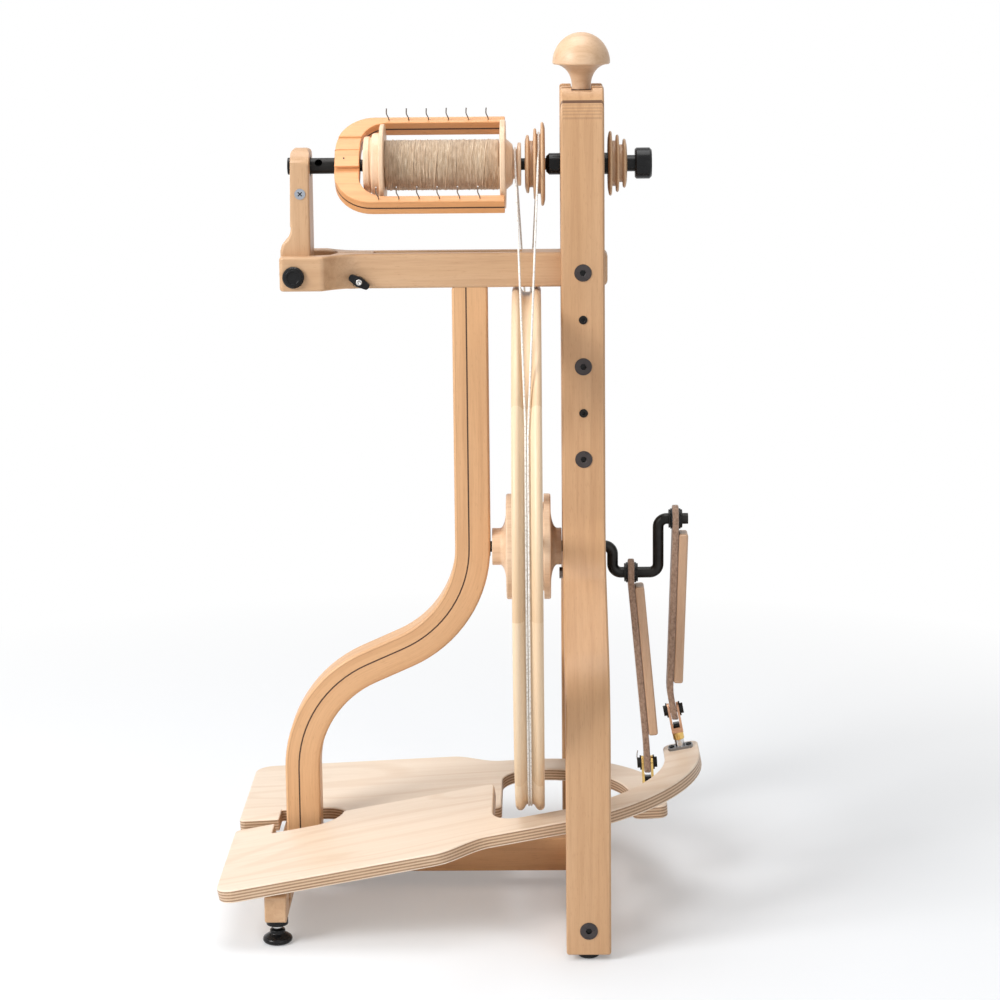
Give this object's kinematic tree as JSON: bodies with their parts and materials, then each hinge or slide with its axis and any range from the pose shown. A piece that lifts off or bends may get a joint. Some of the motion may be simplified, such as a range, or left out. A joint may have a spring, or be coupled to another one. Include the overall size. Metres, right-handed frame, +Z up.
{
  "type": "spinning wheel",
  "caption": "Upright double treadle spinning wheel with a flyer over the drive wheel, bentwood posts, a bent crank and rocking treadles.",
  "frame": {"origin": "on the floor, under the middle of the overall box", "axes": "+Z up, +X from the spinner's side towards the crank, +Y towards the far treadle"},
  "size_m": [0.4496, 0.495, 0.817],
  "materials": {
    "maple_satin": "satin oiled maple",
    "maple_pale": "satin turned maple",
    "plywood": "satin plywood",
    "walnut_stripe": "satin walnut",
    "black_hardware": "black moulding",
    "steel_bright": "bright",
    "blackened_steel": "blackened",
    "brass_clevis": "satin",
    "strap_leather": "vegetable tanned",
    "wound_yarn": "wool",
    "band_cord": "cotton cord"
  },
  "bodies": {
    "stand": {"rear_post_near": "maple_satin", "rear_post_far": "maple_satin", "post_spine": "maple_satin", "post_top_rail": "maple_satin", "rear_foot_rail": "maple_satin", "base_beam": "maple_satin", "front_foot_bar": "maple_satin", "front_post": "maple_satin", "front_post_stripe": "walnut_stripe", "mother_of_all": "maple_satin", "tilt_bolt": "black_hardware", "axle_bushes": "black_hardware", "spine_bolt": "blackened_steel", "connector_bolts": "blackened_steel", "post_screws": "blackened_steel", "rear_glides": "black_hardware", "foot_collars": "black_hardware", "treadle_rod": "steel_bright", "drive_band": "band_cord"},
    "clamp": {"clamp_wing": "black_hardware"},
    "foot_near": {"leveling_foot_near": "black_hardware"},
    "foot_far": {"leveling_foot_far": "black_hardware"},
    "maiden": {"front_maiden": "maple_satin", "orifice_bearing": "black_hardware", "maiden_screw": "steel_bright"},
    "tension": {"tension_knob": "maple_pale", "tension_screw": "steel_bright"},
    "slider": {"bearing_block": "maple_satin", "storage_peg": "black_hardware", "spare_whorl": "maple_satin"},
    "bearing": {"flyer_rear_bearing": "black_hardware"},
    "flyer": {"flyer_frame": "maple_satin", "flyer_stripe": "walnut_stripe", "orifice_tube": "blackened_steel", "flyer_shaft": "blackened_steel", "flyer_hooks": "steel_bright", "flyer_whorl": "maple_satin"},
    "bobbin": {"bobbin": "maple_satin", "bobbin_yarn": "wound_yarn"},
    "wheel": {"wheel_rim": "maple_pale", "wheel_spokes": "maple_satin", "wheel_hub": "maple_satin", "crank_axle": "blackened_steel", "crank_clips": "steel_bright"},
    "footman_near": {"crank_bush_near": "black_hardware", "footman_strap_near": "strap_leather", "footman_slat_near": "maple_satin"},
    "footman_far": {"crank_bush_far": "black_hardware", "footman_strap_far": "strap_leather", "footman_slat_far": "maple_satin"},
    "treadle_near": {"treadle_near": "plywood", "clevis_near": "brass_clevis", "clevis_pin_near": "blackened_steel", "clevis_plate_near": "brass_clevis"},
    "treadle_far": {"treadle_far": "plywood", "clevis_far": "brass_clevis", "clevis_pin_far": "blackened_steel", "clevis_plate_far": "brass_clevis"}
  },
  "joints": [
    {"name": "wheel_spin", "type": "hinge", "parent": "stand", "child": "wheel", "pos_m": [0.06125, 0, 0.334], "axis": [1, 0, 0], "continuous": true, "deforming": ["footman_strap_near", "footman_strap_far", "footman_slat_near", "footman_slat_far"]},
    {"name": "footman_near_swing", "type": "hinge", "parent": "wheel", "child": "footman_near", "pos_m": [0.20025, 0, 0.36], "axis": [1, 0, 0], "continuous": true},
    {"name": "footman_far_swing", "type": "hinge", "parent": "wheel", "child": "footman_far", "pos_m": [0.15825, 0, 0.308], "axis": [1, 0, 0], "continuous": true},
    {"name": "treadle_near_rock", "type": "hinge", "parent": "stand", "child": "treadle_near", "pos_m": [-0.17075, -0.094, 0.037], "axis": [0, 1, 0], "range_deg": [0, 7.7]},
    {"name": "treadle_far_rock", "type": "hinge", "parent": "stand", "child": "treadle_far", "pos_m": [-0.17075, 0.094, 0.037], "axis": [0, 1, 0], "range_deg": [-8.4, 0]},
    {"name": "maiden_tilt", "type": "hinge", "parent": "stand", "child": "maiden", "pos_m": [-0.15255, 0, 0.5975], "axis": [0, 1, 0], "range_deg": [-35, 0]},
    {"name": "clamp_turn", "type": "hinge", "parent": "stand", "child": "clamp", "pos_m": [-0.09315, 0, 0.591], "axis": [0, 1, 0], "range_deg": [-180, 180]},
    {"name": "tension_turn", "type": "hinge", "parent": "stand", "child": "tension", "pos_m": [0.11325, 0, 0.74], "axis": [0, 0, 1], "range_deg": [-720, 720]},
    {"name": "bearing_slide", "type": "slide", "parent": "stand", "child": "slider", "axis": [0, 0, 1], "range_m": [-0.004, 0.004], "deforming": ["drive_band"]},
    {"name": "bearing_tilt", "type": "hinge", "parent": "slider", "child": "bearing", "pos_m": [0.11325, 0, 0.6965], "axis": [0, 1, 0], "range_deg": [-1, 1]},
    {"name": "flyer_spin", "type": "hinge", "parent": "bearing", "child": "flyer", "pos_m": [0.06125, 0, 0.6965], "axis": [1, 0, 0], "continuous": true},
    {"name": "bobbin_spin", "type": "hinge", "parent": "bearing", "child": "bobbin", "pos_m": [0.00125, 0, 0.6965], "axis": [1, 0, 0], "continuous": true},
    {"name": "foot_near_turn", "type": "hinge", "parent": "stand", "child": "foot_near", "pos_m": [-0.17075, -0.15, 0.006], "axis": [0, 0, 1], "range_deg": [-180, 180]},
    {"name": "foot_far_turn", "type": "hinge", "parent": "stand", "child": "foot_far", "pos_m": [-0.17075, 0.15, 0.006], "axis": [0, 0, 1], "range_deg": [-180, 180]}
  ],
  "couplings": [
    {"joint": "flyer_spin", "follows": "wheel_spin", "ratio": 8.3793},
    {"joint": "bobbin_spin", "follows": "wheel_spin", "ratio": 16.2},
    {"joint": "footman_near_swing", "follows": "wheel_spin", "ratio": -1},
    {"joint": "footman_far_swing", "follows": "wheel_spin", "ratio": -1},
    {"joint": "treadle_far_rock", "follows": "treadle_near_rock", "ratio": -1.088},
    {"joint": "tension_turn", "follows": "bearing_slide", "rad_per_m": 3141.6},
    {"joint": "bearing_tilt", "follows": "bearing_slide", "rad_per_m": -3.9448}
  ]
}
